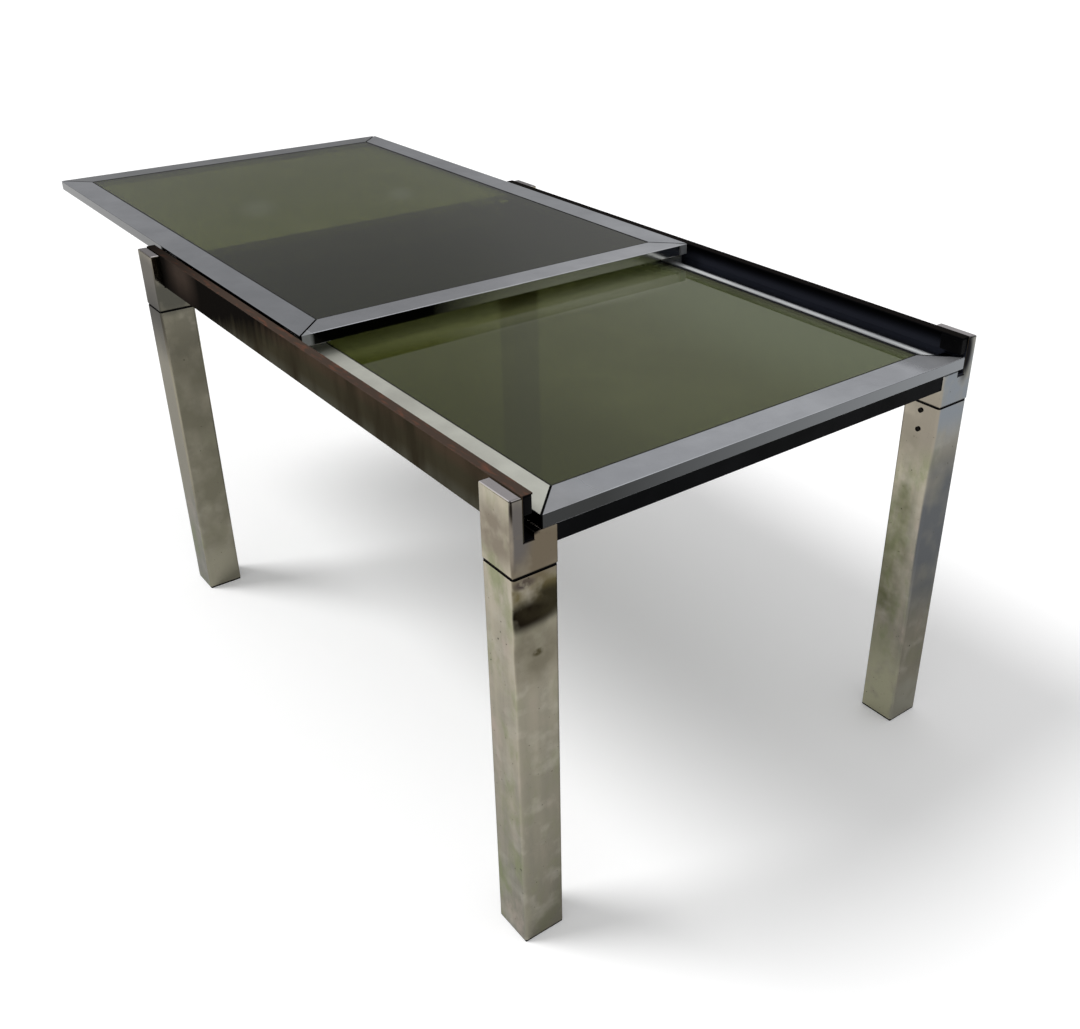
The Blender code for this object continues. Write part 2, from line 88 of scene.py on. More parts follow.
# Chromed steel tube, polished, then years of handling: a warm, slightly cloudy mirror, duller towards the floor, with
# faint runs down the tube and a few pits. Layers lie over one another in their order, each where its noise or its
# face's direction is in the range; faces turned upwards are painted lighter as a painted reflection, and faces turned
# along the table darker as painted shade. Some faces have marks of their own, several of them painted shade and painted
# reflections: middle and reach in metres from the table's middle, broken up by noise.
agedChrome = {
    "bright": "#b2aa98", "dull": "#807e74", "dullPerMetre": 1.2, "dullFrom": (0.10, 1.05),
    "cloudMm": 85, "runMm": (18, 18, 420), "patchMm": (40, 40, 75), "bloomMm": 34, "markEdge": (1.0, 0.35),
    "pit": "#3f3a2e", "pitMm": 6.0, "pitFrom": (0.74, 0.82), "waveMm": 70, "waveDepth": 0.00018,
    "shineFrom": (0.75, 1.35), "roughness": (0.07, 0.18), "edgeTint": 0.55, "turnedAway": (-1.0, 1.0, 0.0),
}
chromeLayers = {
    "tarnish": {"colour": "#838a66", "from": (0.50, 0.66), "most": 0.7},
    "rosy": {"colour": "#b0a398", "from": (0.44, 0.30), "most": 0.7},
    # faces turned along the table painted darker: painted shade
    "paintedShadeEndFace": {"colour": "#7b7769", "from": (0.3, 0.9), "most": 0.7},
    "bloom": {"colour": "#c2beb2", "from": (0.50, 0.74), "most": 0.28},
    "wellKept": {"colour": "#b5b5b3", "from": (0.3, 0.8), "most": 0.7},  # faces to the left and the back
    # faces turned upwards painted lighter: a painted reflection of the sky
    "paintedLightUpFace": {"colour": "#f0eaea", "from": (0.6, 0.9), "most": 1.0},
}
chromeMarks = {
    # Near leg and its cap; on the leg's end face under the cap, a painted dark reflection with painted shade below it
    "paintedReflectionBrown": {"colour": "#5a5238", "middle": (legX + legHalf, -legY, 0.622),
                   "reach": (0.006, 0.120, 0.046), "breakMm": 30, "breakFrom": (0.25, 0.62)},
    # painted shade below the painted dark reflection
    "paintedShadeBelowSmear": {"colour": "#6b6658", "middle": (legX + legHalf, -legY - 0.010, 0.525),
                  "reach": (0.006, 0.080, 0.075), "breakMm": 45, "breakFrom": (0.15, 0.55)},
    "paintedReflectionSmear": {"colour": "#140f09", "middle": (legX + legHalf, -legY - 0.015, 0.584),
                  "reach": (0.006, 0.085, 0.030), "breakMm": 55, "breakFrom": (0.10, 0.42)},
    "paintedReflectionTail": {"colour": "#2b271b", "middle": (legX + legHalf, -legY + 0.016, 0.596),
                  "reach": (0.006, 0.060, 0.036), "breakMm": 40, "breakFrom": (0.25, 0.52)},
    "violetSpot": {"colour": "#2c2428", "middle": (legX + legHalf, -legY - 0.018, 0.634),
                   "reach": (0.006, 0.024, 0.011), "breakMm": 12, "breakFrom": (0.28, 0.50)},
    "smallSpot": {"colour": "#45402f", "middle": (legX + legHalf, -legY, 0.521),
                  "reach": (0.006, 0.011, 0.008), "breakMm": 8, "breakFrom": (0.25, 0.50)},
    # painted shade on the cap's end face
    "paintedShadeCap": {"colour": "#635a4c", "middle": (legX + legHalf, -legY, 0.675),
               "reach": (0.006, 0.120, 0.060), "breakMm": 60, "breakFrom": (0.05, 0.50)},
    "greyCheek": {"colour": "#5b5754", "middle": (legX + legHalf, -legY - 0.026, 0.712),
                  "reach": (0.006, 0.030, 0.075), "breakMm": 30, "breakFrom": (0.10, 0.45)},
    "darkEdge": {"colour": "#1f1b17", "middle": (legX + legHalf, -legY - 0.0335, 0.742),
                 "reach": (0.006, 0.0026, 0.030), "breakMm": 14, "breakFrom": (0.10, 0.40)},
    "warmCap": {"colour": "#857c6e", "middle": (legX, -legY - legHalf, 0.695),
                "reach": (0.080, 0.006, 0.055), "breakMm": 30, "breakFrom": (0.18, 0.52)},
    # painted shade on the cap's inner step, down beside the slot
    "paintedShadeStep": {"colour": "#131110", "middle": (legX, -legY, 0.7015),
                 "reach": (0.080, 0.012, 0.006), "breakMm": 30, "breakFrom": (0.05, 0.20)},
    # Right leg and its cap
    "greyEnd": {"colour": "#57595b", "middle": (legX + legHalf, legY + 0.020, 0.400),
                "reach": (0.006, 0.220, 0.230), "breakMm": 120, "breakFrom": (0.10, 0.50)},
    "cleanCap": {"colour": "#7c8186", "middle": (legX + legHalf, legY, 0.675),
                 "reach": (0.006, 0.200, 0.130), "breakMm": 50, "breakFrom": (0.15, 0.50)},
    # painted shade on the inner half of the cap's end wall
    "paintedShadeWall": {"colour": "#161618", "middle": (legX + legHalf, legY + 0.016, 0.728),
                 "reach": (0.006, 0.018, 0.060), "breakMm": 20, "breakFrom": (0.10, 0.35)},
    # painted shade at the top of the leg's inner face, under the table top
    "paintedShadeTop": {"colour": "#8e877a", "middle": (legX, legY - legHalf, 0.620),
               "reach": (0.130, 0.006, 0.110), "breakMm": 60, "breakFrom": (0.05, 0.40)},
    "greenSide": {"colour": "#62634a", "middle": (legX - 0.014, legY - legHalf, 0.360),
                  "reach": (0.045, 0.006, 0.280), "breakMm": 60, "breakFrom": (0.28, 0.58)},
    # painted light at the foot of the leg's inner face
    "paintedLightFoot": {"colour": "#a6a48c", "middle": (legX, legY - legHalf, 0.020),
                 "reach": (0.090, 0.006, 0.200), "breakMm": 35, "breakFrom": (0.15, 0.50)},
    "rightToe": {"colour": "#8e8c80", "middle": (legX + legHalf, legY, 0.025),
                 "reach": (0.006, 0.120, 0.090), "breakMm": 40, "breakFrom": (0.10, 0.50)},
    # Left leg and its cap
    "dimShin": {"colour": "#646156", "middle": (-legX + legHalf, -legY, 0.600),
                "reach": (0.006, 0.090, 0.120), "breakMm": 40, "breakFrom": (0.20, 0.55)},
    "dimLeft": {"colour": "#696658", "middle": (-legX + legHalf, -legY, 0.330),
                "reach": (0.006, 0.120, 0.420), "breakMm": 60, "breakFrom": (0.15, 0.60)},
    "darkCheek": {"colour": "#68635a", "middle": (-legX, -legY - legHalf, 0.705),
                  "reach": (0.130, 0.005, 0.080), "breakMm": 110, "breakFrom": (0.00, 0.35)},
    "darkShin": {"colour": "#413e37", "middle": (-legX, -legY - legHalf, 0.605),
                 "reach": (0.130, 0.005, 0.110), "breakMm": 110, "breakFrom": (0.00, 0.35)},
    "dimSide": {"colour": "#8f8a7b", "middle": (-legX, -legY - legHalf, 0.400),
                "reach": (0.130, 0.005, 0.260), "breakMm": 110, "breakFrom": (0.05, 0.50)},
    "leftToe": {"colour": "#827f70", "middle": (-legX + legHalf, -legY, 0.030),
                "reach": (0.006, 0.120, 0.090), "breakMm": 40, "breakFrom": (0.10, 0.50)},
    "dimInside": {"colour": "#4b4a43", "middle": (-legX + legHalf, -legY, 0.675),
                  "reach": (0.006, 0.110, 0.055), "breakMm": 30, "breakFrom": (0.10, 0.45)},
}


def addMarks(tree, place, skin, edge, marks):
    for mark in marks.values():
        # 1 at the mark's middle, 0 past its reach, times noise, so that it has no drawn outline
        middle = (mark["middle"][0] + baseX, *mark["middle"][1:])
        local = addNode(tree, "ShaderNodeMapping", {"Vector": place, "Location": middle, "Scale": mark["reach"]},
                        vector_type="TEXTURE")
        away = addNode(tree, "ShaderNodeVectorMath", {0: local}, operation="LENGTH")
        inside = addNode(tree, "ShaderNodeMapRange", {"Value": away, fromRange: edge},
                         interpolation_type="SMOOTHSTEP")
        breaks = addNode(tree, "ShaderNodeTexNoise", {"Vector": place, "Scale": 1000 / mark["breakMm"], "Detail": 3.0})
        torn = addNode(tree, "ShaderNodeMapRange", {"Value": breaks, fromRange: mark["breakFrom"]})
        mask = addNode(tree, "ShaderNodeMath", {0: inside, 1: torn}, operation="MULTIPLY")
        skin = addNode(tree, "ShaderNodeMix", {mixFactor: mask, mixUnder: skin, mixOver: linear(mark["colour"])},
                       data_type="RGBA")
    return skin


def makeAgedChrome(look, layers, marks):
    material, tree, shader, coords = newMaterial("agedChrome")
    place = coords.outputs["Object"]
    clouds = addNode(tree, "ShaderNodeTexNoise", {"Vector": place, "Scale": 1000 / look["cloudMm"], "Detail": 4.0,
                                                  "Roughness": 0.55})
    runs = addNode(tree, "ShaderNodeMapping", {"Vector": place, "Scale": [1000 / mm for mm in look["runMm"]]})
    runNoise = addNode(tree, "ShaderNodeTexNoise", {"Vector": runs, "Scale": 1.0, "Detail": 2.0})
    uneven = addNode(tree, "ShaderNodeMath", {0: clouds, 1: runNoise}, operation="ADD")
    height = addNode(tree, "ShaderNodeSeparateXYZ", {"Vector": place}).outputs["Z"]
    lower = addNode(tree, "ShaderNodeMath", {0: height, 1: -look["dullPerMetre"], 2: uneven},
                    operation="MULTIPLY_ADD")
    dullness = addNode(tree, "ShaderNodeMapRange", {"Value": lower, fromRange: look["dullFrom"]})
    skin = addNode(tree, "ShaderNodeMix", {mixFactor: dullness, mixUnder: linear(look["bright"]),
                                           mixOver: linear(look["dull"])}, data_type="RGBA")
    patches = addNode(tree, "ShaderNodeMapping", {"Vector": place, "Scale": [1000 / mm for mm in look["patchMm"]]})
    patchNoise = addNode(tree, "ShaderNodeTexNoise", {"Vector": patches, "Scale": 1.0, "Detail": 5.0,
                                                      "Roughness": 0.6})
    bloomNoise = addNode(tree, "ShaderNodeTexNoise", {"Vector": place, "Scale": 1000 / look["bloomMm"], "Detail": 4.0,
                                                      "Roughness": 0.5})
    facing = addNode(tree, "ShaderNodeSeparateXYZ", {"Vector": coords.outputs["Normal"]})
    endwise = addNode(tree, "ShaderNodeMath", {0: facing.outputs["X"]}, operation="ABSOLUTE")
    turned = addNode(tree, "ShaderNodeVectorMath", {0: coords.outputs["Normal"], 1: look["turnedAway"]},
                     operation="DOT_PRODUCT")
    covers = {"tarnish": patchNoise, "rosy": patchNoise, "paintedShadeEndFace": endwise, "bloom": bloomNoise, "wellKept": turned,
              "paintedLightUpFace": facing.outputs["Z"]}
    for name, layer in layers.items():
        mask = addNode(tree, "ShaderNodeMapRange", {"Value": covers[name], fromRange: layer["from"],
                                                    "To Max": layer["most"]})
        skin = addNode(tree, "ShaderNodeMix", {mixFactor: mask, mixUnder: skin, mixOver: linear(layer["colour"])},
                       data_type="RGBA")
    skin = addMarks(tree, place, skin, look["markEdge"], marks)
    pitNoise = addNode(tree, "ShaderNodeTexNoise", {"Vector": place, "Scale": 1000 / look["pitMm"], "Detail": 1.0})
    pits = addNode(tree, "ShaderNodeMapRange", {"Value": pitNoise, fromRange: look["pitFrom"]})
    skin = addNode(tree, "ShaderNodeMix", {mixFactor: pits, mixUnder: skin, mixOver: linear(look["pit"])},
                   data_type="RGBA")
    shine = addNode(tree, "ShaderNodeMapRange", {"Value": uneven, fromRange: look["shineFrom"],
                                                 toRange: look["roughness"]})
    wave = addNode(tree, "ShaderNodeTexNoise", {"Vector": place, "Scale": 1000 / look["waveMm"], "Detail": 2.0})
    bump = addNode(tree, "ShaderNodeBump", {"Height": wave, "Strength": 1.0, "Distance": look["waveDepth"]})
    setInputs(tree, shader, {"Base Color": skin, "Roughness": shine, "Normal": bump, "Metallic": 1.0,
                             "Specular Tint": (*[look["edgeTint"]] * 3, 1.0)})
    return material


# Polished aluminium bar: fine lines along the bar from drawing and wiping (drawn some ten times as wide as they are,
# to show at all), softly dulled patches, and outer sides with a painted reflection that runs from dark at the front to
# light at the back. Where a runner or a hand rubs, a bar is scuffed to a pale, half matt film: each bar's wear is a
# band of distances from the glass opening's edge towards the leaf's long sides.
polishedBar = {
    "clean": "#e2e5ea", "dulled": "#ced1d6", "patchMm": 110, "patchFrom": (0.36, 0.68),
    "shineFrom": (0.35, 0.70), "roughness": (0.07, 0.17), "lineMm": (180, 1.1), "lineDepth": 0.00002,
    "sidePaintedShade": "#353636", "sidePaintedLight": "#7e8184", "sideY": (-0.32, 0.46), "uprightFrom": (0.80, 0.30),
}
# the drawn-out leaf's end bar: painted shade on its outer side from the middle back, light towards the front
upperEdge = {"clean": "#ebedf2", "dulled": "#d8dbdf", "sidePaintedShade": "#121211", "sidePaintedLight": "#cfd0cb",
             "sideY": (-0.17, -0.02)}
farEnd = {"clean": "#c6c8cb", "dulled": "#b0b3b5"}
bars = {  # leaf, way that the bar runs, look
    "lowerFrontBar": ("lower", "X", polishedBar),
    "lowerRearBar": ("lower", "X", polishedBar),
    "lowerEndBar": ("lower", "Y", polishedBar),
    "upperLongBar": ("upper", "X", polishedBar),
    "upperEndBar": ("upper", "Y", polishedBar | upperEdge),
    "upperFarBar": ("upper", "Y", polishedBar | farEnd),
}
barWear = {
    "lowerFrontBar": {"band": (-0.001, 0.060), "soft": 0.0005, "worn": "#e0e1d6", "wornDull": "#c9c9bf",
                      "roughness": 0.52, "metallic": 0.75, "sides": 0.0},
    "lowerRearBar": {"band": (0.0062, 0.0190), "soft": 0.0040, "worn": "#f0f2f2", "wornDull": "#cdd0d1",
                     "roughness": 0.60, "metallic": 0.55, "sides": 0.0},
    "lowerEndBar": {"band": (-0.030, 0.070), "soft": 0.035, "worn": "#b9babd", "wornDull": "#a5a7aa",
                    "roughness": 0.52, "metallic": 0.85, "sides": 0.0},
    "upperEndBar": {"band": (0.034, 0.070), "soft": 0.004, "worn": "#b9bcbe", "wornDull": "#a3a6a8",
                    "roughness": 0.52, "metallic": 0.75, "sides": 1.0},
}


def makePolishedBar(name, leaf, along, look, wear=None):
    material, tree, shader, coords = newMaterial(name)
    place = coords.outputs["Object"]
    low, high = (np.array(corner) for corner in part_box(f"{leaf}_gasket"))
    leafMiddle = ((low[0] + high[0]) / 2, (low[1] + high[1]) / 2, 0.0)
    fromMiddle = addNode(tree, "ShaderNodeVectorMath", {0: place, 1: leafMiddle}, operation="SUBTRACT")
    sideways = addNode(tree, "ShaderNodeSeparateXYZ", {"Vector": fromMiddle}).outputs["Y"]
    longMm, fineMm = look["lineMm"]
    stretch = [1000 / (longMm if axis == along else fineMm) for axis in "XYZ"]
    lines = addNode(tree, "ShaderNodeMapping", {"Vector": place, "Scale": stretch})
    lineNoise = addNode(tree, "ShaderNodeTexNoise", {"Vector": lines, "Scale": 1.0, "Detail": 2.0})
    bump = addNode(tree, "ShaderNodeBump", {"Height": lineNoise, "Strength": 1.0, "Distance": look["lineDepth"]})
    patches = addNode(tree, "ShaderNodeTexNoise", {"Vector": place, "Scale": 1000 / look["patchMm"], "Detail": 6.0,
                                                   "Roughness": 0.6})
    dullness = addNode(tree, "ShaderNodeMapRange", {"Value": patches, fromRange: look["patchFrom"]})
    skin = addNode(tree, "ShaderNodeMix", {mixFactor: dullness, mixUnder: linear(look["clean"]),
                                           mixOver: linear(look["dulled"])}, data_type="RGBA")
    shine = addNode(tree, "ShaderNodeMapRange", {"Value": patches, fromRange: look["shineFrom"],
                                                 toRange: look["roughness"]})
    # Outer sides: upright faces whose normal points away from the leaf's middle, painted with a reflection that runs
    # dark to light
    facing = addNode(tree, "ShaderNodeSeparateXYZ", {"Vector": coords.outputs["Normal"]})
    level = addNode(tree, "ShaderNodeMath", {0: facing.outputs["Z"]}, operation="ABSOLUTE")
    upright = addNode(tree, "ShaderNodeMapRange", {"Value": level, fromRange: look["uprightFrom"]})
    away = addNode(tree, "ShaderNodeVectorMath", {0: fromMiddle, 1: coords.outputs["Normal"]},
                   operation="DOT_PRODUCT")
    outer = addNode(tree, "ShaderNodeMath", {0: away, 1: 0.0}, operation="GREATER_THAN")
    onSide = addNode(tree, "ShaderNodeMath", {0: upright, 1: outer}, operation="MULTIPLY")
    paintedLightShare = addNode(tree, "ShaderNodeMapRange", {"Value": sideways, fromRange: look["sideY"]})
    paintedSideSkin = addNode(tree, "ShaderNodeMix", {mixFactor: paintedLightShare, mixUnder: linear(look["sidePaintedShade"]),
                                               mixOver: linear(look["sidePaintedLight"])}, data_type="RGBA")
    skin = addNode(tree, "ShaderNodeMix", {mixFactor: onSide, mixUnder: skin, mixOver: paintedSideSkin}, data_type="RGBA")
    metal = 1.0
    if wear:
        across = addNode(tree, "ShaderNodeMath", {0: sideways}, operation="ABSOLUTE")
        begin, end = ((high[1] - low[1]) / 2 + distance for distance in wear["band"])
        soft = wear["soft"]
        rise = addNode(tree, "ShaderNodeMapRange", {"Value": across, fromRange: (begin - soft, begin + soft)})
        fall = addNode(tree, "ShaderNodeMapRange", {"Value": across, fromRange: (end + soft, end - soft)})
        inBand = addNode(tree, "ShaderNodeMath", {0: rise, 1: fall}, operation="MULTIPLY")
        kept = addNode(tree, "ShaderNodeMapRange", {"Value": onSide, toRange: (1.0, wear["sides"])})
        inBand = addNode(tree, "ShaderNodeMath", {0: inBand, 1: kept}, operation="MULTIPLY")
        wornSkin = addNode(tree, "ShaderNodeMix", {mixFactor: dullness, mixUnder: linear(wear["worn"]),
                                                   mixOver: linear(wear["wornDull"])}, data_type="RGBA")
        skin = addNode(tree, "ShaderNodeMix", {mixFactor: inBand, mixUnder: skin, mixOver: wornSkin},
                       data_type="RGBA")
        shine = addNode(tree, "ShaderNodeMapRange", {"Value": inBand, toRange: (shine, wear["roughness"])})
        metal = addNode(tree, "ShaderNodeMapRange", {"Value": inBand, toRange: (1.0, wear["metallic"])})
    setInputs(tree, shader, {"Base Color": skin, "Roughness": shine, "Normal": bump, "Metallic": metal})
    return material


# Float glass smoked olive in the melt, with faint wiped smears and a film of dust that scatters some of the light, more
# of it on the lower pane, which is rarely reached. The lower pane is paler over its far half and along its rear edge
# and darker over its near half, and two lighter bands along the upper leaf's edge at rest are a painted reflection of
# that leaf's bars. The upper pane has two hand marks. Middles are from the table's middle, in metres.
smokedGlass = {"tint": "#454a20", "dusty": "#4e532a", "smearMm": 140, "smearFrom": (0.45, 0.75),
               "shineFrom": (0.45, 0.80), "roughness": (0.0, 0.04), "printEdge": (1.0, 0.2), "ior": 1.5}
glassFilms = {"lower": 0.45, "upper": 0.08}  # share of the light that the dust scatters
glassMarksAndPaintedReflection = {
    "lower": ({"colour": "#575f3c", "middle": (0.42, 0.36), "reach": (0.80, 0.32), "turnDeg": 0},
              {"colour": "#3e421a", "middle": (0.45, -0.36), "reach": (0.60, 0.32), "turnDeg": 0},
              # lighter bands along the upper leaf's near edge at rest: a painted reflection of that leaf's bars
              {"colour": "#5f6340", "middle": (0.015, -0.03), "reach": (0.085, 0.46), "turnDeg": 0},
              {"colour": "#696d53", "middle": (0.040, 0.190), "reach": (0.075, 0.260), "turnDeg": 0},
              {"colour": "#6c6f5b", "middle": (0.36, 0.380), "reach": (0.75, 0.045), "turnDeg": 0}),
    "upper": ({"colour": "#52573a", "middle": (-0.772, -0.146), "reach": (0.105, 0.052), "turnDeg": 156},
              {"colour": "#52573a", "middle": (-0.690, 0.160), "reach": (0.085, 0.040), "turnDeg": 152}),
}
anyHeight = 100.0  # a reach upwards so long that a mark is as strong at every height


def makeSmokedGlass(name, look, film, marks):
    material, tree, shader, coords = newMaterial(name)
    place = coords.outputs["Object"]
    smears = addNode(tree, "ShaderNodeTexNoise", {"Vector": place, "Scale": 1000 / look["smearMm"], "Detail": 6.0,
                                                  "Roughness": 0.65, "Distortion": 0.6})
    mask = addNode(tree, "ShaderNodeMapRange", {"Value": smears, fromRange: look["smearFrom"]})
    tint = addNode(tree, "ShaderNodeMix", {mixFactor: mask, mixUnder: linear(look["tint"]),
                                           mixOver: linear(look["dusty"])}, data_type="RGBA")
    for mark in marks:
        # A soft oval patch of tint, 1 in its middle and 0 past its reach; some are hand marks, some a painted
        # reflection
        middle = (mark["middle"][0] + baseX, mark["middle"][1], 0.0)
        local = addNode(tree, "ShaderNodeMapping", {"Vector": place, "Location": middle,
                                                    "Rotation": (0.0, 0.0, math.radians(mark["turnDeg"])),
                                                    "Scale": (*mark["reach"], anyHeight)}, vector_type="TEXTURE")
        away = addNode(tree, "ShaderNodeVectorMath", {0: local}, operation="LENGTH")
        inside = addNode(tree, "ShaderNodeMapRange", {"Value": away, fromRange: look["printEdge"]},
                         interpolation_type="SMOOTHSTEP")
        tint = addNode(tree, "ShaderNodeMix", {mixFactor: inside, mixUnder: tint, mixOver: linear(mark["colour"])},
                       data_type="RGBA")
    shine = addNode(tree, "ShaderNodeMapRange", {"Value": smears, fromRange: look["shineFrom"],
                                                 toRange: look["roughness"]})
    setInputs(tree, shader, {"Base Color": tint, "Roughness": shine, "Transmission Weight": 1.0 - film,
                             "IOR": look["ior"]})
    return material


# Dark bronze lacquer on the rails, olive brown outside, with a painted reflection over it: paler at its foot, browner
# at its top, nearly black in upright strokes towards the drawn-out leaf and brown again at the far leg. A top edge with
# reddish rubbed spots, painted dark towards the drawn-out leaf as the same reflection; painted shade, black, in the
# channel, with a painted bluish reflection low down in the rear one. Places along the rail are from the table's middle,
# in metres.
bronzeLacquer = {
    "face": "#3a362a", "faceFoot": "#454339", "footRise": (0.024, 0.008), "faceTop": "#43382d",
    "crownDrop": (0.025, 0.008), "deep": "#2f2a20", "deepMm": (55, 55, 200), "deepFrom": (0.45, 0.68),
    "dark": "#141210", "darkX": (-0.25, -0.07), "darkLean": 3.7, "streakMm": (14, 14, 160), "streakReach": 0.2,
    "brown": "#3d342e", "brownX": -0.47, "brownReach": (0.085, 0.020), "brownRise": 0.004, "brownDrop": 0.020,
    "brownLeast": 0.25, "top": "#463b34", "spots": "#5f4236", "spotMm": (34, 9, 9), "spotFrom": (0.52, 0.70),
    "topDarkX": (-0.66, -0.25), "rearTop": "#171514", "inside": "#0d0d0f", "paintedSheenLow": "#2a2c34",
    "shineDrop": (0.012, 0.028), "faceDepth": 0.0015, "topDepth": 0.0008, "specular": 0.0,
    "shineFrom": (0.35, 0.75), "roughness": (0.15, 0.32),
}


def makeBronzeLacquer(look):
    material, tree, shader, coords = newMaterial("bronzeLacquer")
    place = coords.outputs["Object"]
    low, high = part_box("rail_rear")
    bottom, top = low[2], high[2]
    axes = addNode(tree, "ShaderNodeSeparateXYZ", {"Vector": place})
    x, y, z = (axes.outputs[axis] for axis in "XYZ")
    across = addNode(tree, "ShaderNodeMath", {0: y}, operation="ABSOLUTE")
    onFace = addNode(tree, "ShaderNodeMath", {0: across, 1: high[1] - look["faceDepth"]}, operation="GREATER_THAN")
    onTop = addNode(tree, "ShaderNodeMath", {0: z, 1: top - look["topDepth"]}, operation="GREATER_THAN")
    atRear = addNode(tree, "ShaderNodeMath", {0: y, 1: 0.0}, operation="GREATER_THAN")
    # The lighter part of the face, its paler foot and browner top a painted reflection
    foot = addNode(tree, "ShaderNodeMapRange", {"Value": z, fromRange: [bottom + rise for rise in look["footRise"]]})
    crown = addNode(tree, "ShaderNodeMapRange", {"Value": z, fromRange: [top - drop for drop in look["crownDrop"]]})
    stretches = addNode(tree, "ShaderNodeMapping", {"Vector": place, "Scale": [1000 / mm for mm in look["deepMm"]]})
    stretchNoise = addNode(tree, "ShaderNodeTexNoise", {"Vector": stretches, "Scale": 1.0, "Detail": 4.0})
    stretch = addNode(tree, "ShaderNodeMapRange", {"Value": stretchNoise, fromRange: look["deepFrom"]})
    faceSkin = linear(look["face"])
    for mask, colour in ((foot, "faceFoot"), (crown, "faceTop"), (stretch, "deep")):
        faceSkin = addNode(tree, "ShaderNodeMix", {mixFactor: mask, mixUnder: faceSkin, mixOver: linear(look[colour])},
                           data_type="RGBA")
    # Painted reflection: light meets dark along a leaning line that the streaks move to and fro, which gives the
    # upright strokes
    streaks = addNode(tree, "ShaderNodeMapping", {"Vector": place, "Scale": [1000 / mm for mm in look["streakMm"]]})
    streakNoise = addNode(tree, "ShaderNodeTexNoise", {"Vector": streaks, "Scale": 1.0, "Detail": 2.0})
    leaning = addNode(tree, "ShaderNodeMath", {0: z, 1: -look["darkLean"], 2: x}, operation="MULTIPLY_ADD")
    along = addNode(tree, "ShaderNodeMath", {0: streakNoise, 1: look["streakReach"], 2: leaning},
                    operation="MULTIPLY_ADD")
    middle = baseX + look["streakReach"] / 2 - look["darkLean"] * (bottom + top) / 2
    light = addNode(tree, "ShaderNodeMapRange", {"Value": along, fromRange: [edge + middle for edge in look["darkX"]]})
    faceSkin = addNode(tree, "ShaderNodeMix", {mixFactor: light, mixUnder: linear(look["dark"]), mixOver: faceSkin},
                       data_type="RGBA")
    # Painted reflection, brown again at the far leg, most of all towards the top
    offset = addNode(tree, "ShaderNodeMath", {0: x, 1: look["brownX"] + baseX}, operation="SUBTRACT")
    offset = addNode(tree, "ShaderNodeMath", {0: offset}, operation="ABSOLUTE")
    nearLeg = addNode(tree, "ShaderNodeMapRange", {"Value": offset, fromRange: look["brownReach"]})
    higher = addNode(tree, "ShaderNodeMapRange", {"Value": z, "To Min": look["brownLeast"],
                                                  fromRange: (bottom + look["brownRise"], top - look["brownDrop"])})
    brown = addNode(tree, "ShaderNodeMath", {0: nearLeg, 1: higher}, operation="MULTIPLY")
    faceSkin = addNode(tree, "ShaderNodeMix", {mixFactor: brown, mixUnder: faceSkin, mixOver: linear(look["brown"])},
                       data_type="RGBA")
    # The top edge: rubbed spots, dark towards the drawn-out leaf as a painted reflection, and dark on the rear rail
    spread = addNode(tree, "ShaderNodeMapping", {"Vector": place, "Scale": [1000 / mm for mm in look["spotMm"]]})
    wear = addNode(tree, "ShaderNodeTexNoise", {"Vector": spread, "Scale": 1.0, "Detail": 3.0})
    spots = addNode(tree, "ShaderNodeMapRange", {"Value": wear, fromRange: look["spotFrom"]})
    topSkin = addNode(tree, "ShaderNodeMix", {mixFactor: spots, mixUnder: linear(look["top"]),
                                              mixOver: linear(look["spots"])}, data_type="RGBA")
    # towards the drawn-out leaf the top edge is a painted dark reflection, and no rubbed spots show there
    rubbed = addNode(tree, "ShaderNodeMapRange", {"Value": x, fromRange: [edge + baseX for edge in look["topDarkX"]]})
    topSkin = addNode(tree, "ShaderNodeMix", {mixFactor: rubbed, mixUnder: linear(look["dark"]), mixOver: topSkin},
                      data_type="RGBA")
    topSkin = addNode(tree, "ShaderNodeMix", {mixFactor: atRear, mixUnder: topSkin, mixOver: linear(look["rearTop"])},
                      data_type="RGBA")
    # The channel: painted shade, black, with a painted bluish reflection low down in the rear one; then all three by
    # their places
    lowDown = addNode(tree, "ShaderNodeMapRange", {"Value": z, fromRange: [top - drop for drop in look["shineDrop"]]})
    shining = addNode(tree, "ShaderNodeMath", {0: lowDown, 1: atRear}, operation="MULTIPLY")
    skin = addNode(tree, "ShaderNodeMix", {mixFactor: shining, mixUnder: linear(look["inside"]),
                                           mixOver: linear(look["paintedSheenLow"])}, data_type="RGBA")
    for mask, over in ((onFace, faceSkin), (onTop, topSkin)):
        skin = addNode(tree, "ShaderNodeMix", {mixFactor: mask, mixUnder: skin, mixOver: over}, data_type="RGBA")
    shine = addNode(tree, "ShaderNodeMapRange", {"Value": wear, fromRange: look["shineFrom"],
                                                 toRange: look["roughness"]})
    setInputs(tree, shader, {"Base Color": skin, "Roughness": shine, "Specular IOR Level": look["specular"]})
    return material


